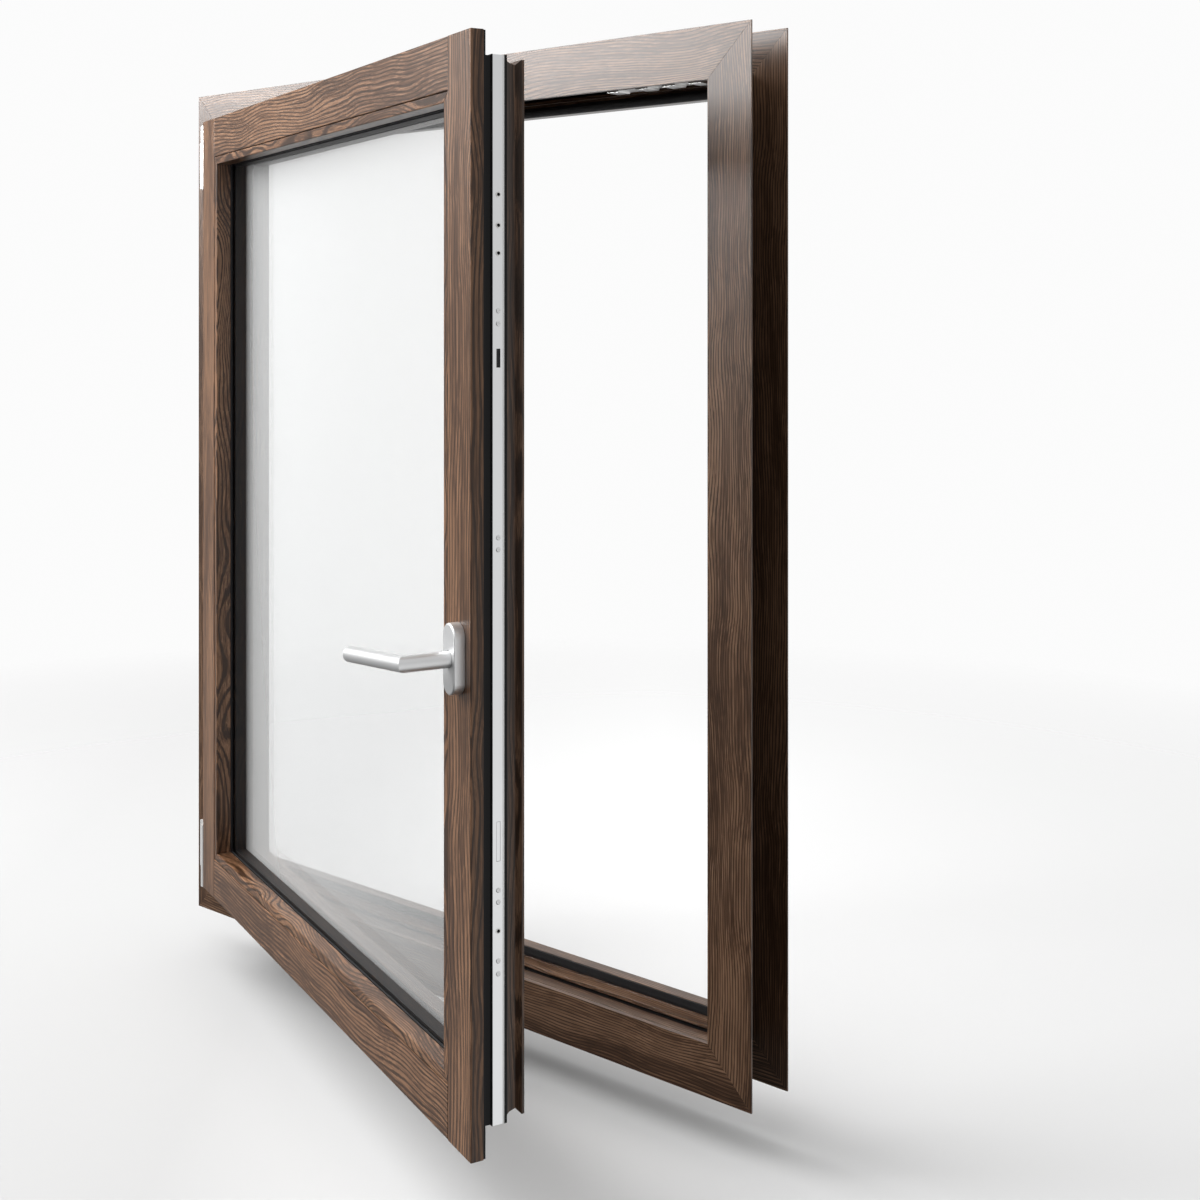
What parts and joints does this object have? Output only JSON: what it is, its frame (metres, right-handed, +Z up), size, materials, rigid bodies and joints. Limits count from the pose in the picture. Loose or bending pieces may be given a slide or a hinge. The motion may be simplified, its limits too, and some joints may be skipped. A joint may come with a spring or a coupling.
{
  "type": "casement window",
  "caption": "Inward-opening casement window, walnut finish, double-glazed sash hung on side hinges and standing open, with a lever handle that drives shoot bolts.",
  "frame": {"origin": "on the underside of the sill's web, halfway along the sill and 9 mm behind the frame's indoor face", "axes": "+Z up, +Y from indoors to outdoors, +X to the right as seen from indoors, away from the hinges"},
  "size_m": [1, 0.4643, 1.2],
  "materials": {
    "decor_aluminium": "walnut-pattern decor coating, satin",
    "sash_wood": "dark walnut, satin lacquer, straight grain",
    "black_polyamide": "black, matt",
    "black_rubber": "black gasket rubber, matt",
    "glazing": "clear double glazing",
    "spacer_black": "black warm-edge spacer",
    "faceplate_aluminium": "light grey, satin",
    "satin_silver": "satin anodised silver",
    "bright_silver": "bright silver, smooth",
    "steel": "zinc-plated steel",
    "setting_block_plastic": "white plastic"
  },
  "bodies": {
    "frame": {"inner_shell_head": "decor_aluminium", "inner_shell_sill": "decor_aluminium", "inner_shell_hinge_jamb": "decor_aluminium", "inner_shell_lock_jamb": "decor_aluminium", "thermal_break_head": "black_polyamide", "thermal_break_sill": "black_polyamide", "thermal_break_hinge_jamb": "black_polyamide", "thermal_break_lock_jamb": "black_polyamide", "outer_shell_head": "decor_aluminium", "outer_shell_sill": "decor_aluminium", "outer_shell_hinge_jamb": "decor_aluminium", "outer_shell_lock_jamb": "decor_aluminium", "rebate_gasket": "black_rubber", "head_keeper": "bright_silver", "sill_keeper": "bright_silver", "upper_hinge_frame_leaf": "bright_silver", "upper_hinge_pin": "steel", "lower_hinge_frame_leaf": "bright_silver", "lower_hinge_pin": "steel"},
    "sash": {"cladding_top_rail": "sash_wood", "cladding_bottom_rail": "sash_wood", "cladding_hinge_stile": "sash_wood", "cladding_lock_stile": "sash_wood", "core_top_rail": "black_polyamide", "core_bottom_rail": "black_polyamide", "core_hinge_stile": "black_polyamide", "core_lock_stile": "black_polyamide", "cover_top_rail": "decor_aluminium", "cover_bottom_rail": "decor_aluminium", "cover_hinge_stile": "decor_aluminium", "cover_lock_stile": "decor_aluminium", "bead_top_rail": "sash_wood", "bead_bottom_rail": "sash_wood", "bead_hinge_stile": "sash_wood", "bead_lock_stile": "sash_wood", "overlap_gasket": "black_rubber", "inner_glazing_gasket": "black_rubber", "outer_glazing_gasket": "black_rubber", "glass_spacer": "spacer_black", "inner_pane": "glazing", "outer_pane": "glazing", "setting_block_hinge": "setting_block_plastic", "setting_block_lock": "setting_block_plastic", "faceplate": "faceplate_aluminium", "faceplate_insert": "faceplate_aluminium", "gearbox_case": "steel", "handle_plate": "satin_silver", "upper_hinge_sash_leaf": "bright_silver", "lower_hinge_sash_leaf": "bright_silver"},
    "handle": {"handle": "satin_silver", "spindle": "steel", "drive_pinion": "steel"},
    "upper_rod": {"upper_rod": "steel"},
    "lower_rod": {"lower_rod": "steel"}
  },
  "joints": [
    {"name": "sash_swing", "type": "hinge", "parent": "frame", "child": "sash", "pos_m": [-0.468, -0.02, 0], "axis": [0, 0, -1], "range_deg": [-20, 70]},
    {"name": "handle_turn", "type": "hinge", "parent": "sash", "child": "handle", "pos_m": [0.37439, -0.33405, 0.486], "axis": [-0.342, -0.9397, 0], "range_deg": [-6, 84]},
    {"name": "upper_rod_slide", "type": "slide", "parent": "sash", "child": "upper_rod", "axis": [0, 0, 1], "range_m": [-0.0004, 0.0053]},
    {"name": "lower_rod_slide", "type": "slide", "parent": "sash", "child": "lower_rod", "axis": [0, 0, -1], "range_m": [-0.0004, 0.0053]}
  ],
  "couplings": [
    {"joint": "upper_rod_slide", "follows": "handle_turn", "m_per_rad": 0.0036},
    {"joint": "lower_rod_slide", "follows": "handle_turn", "m_per_rad": 0.0036}
  ]
}
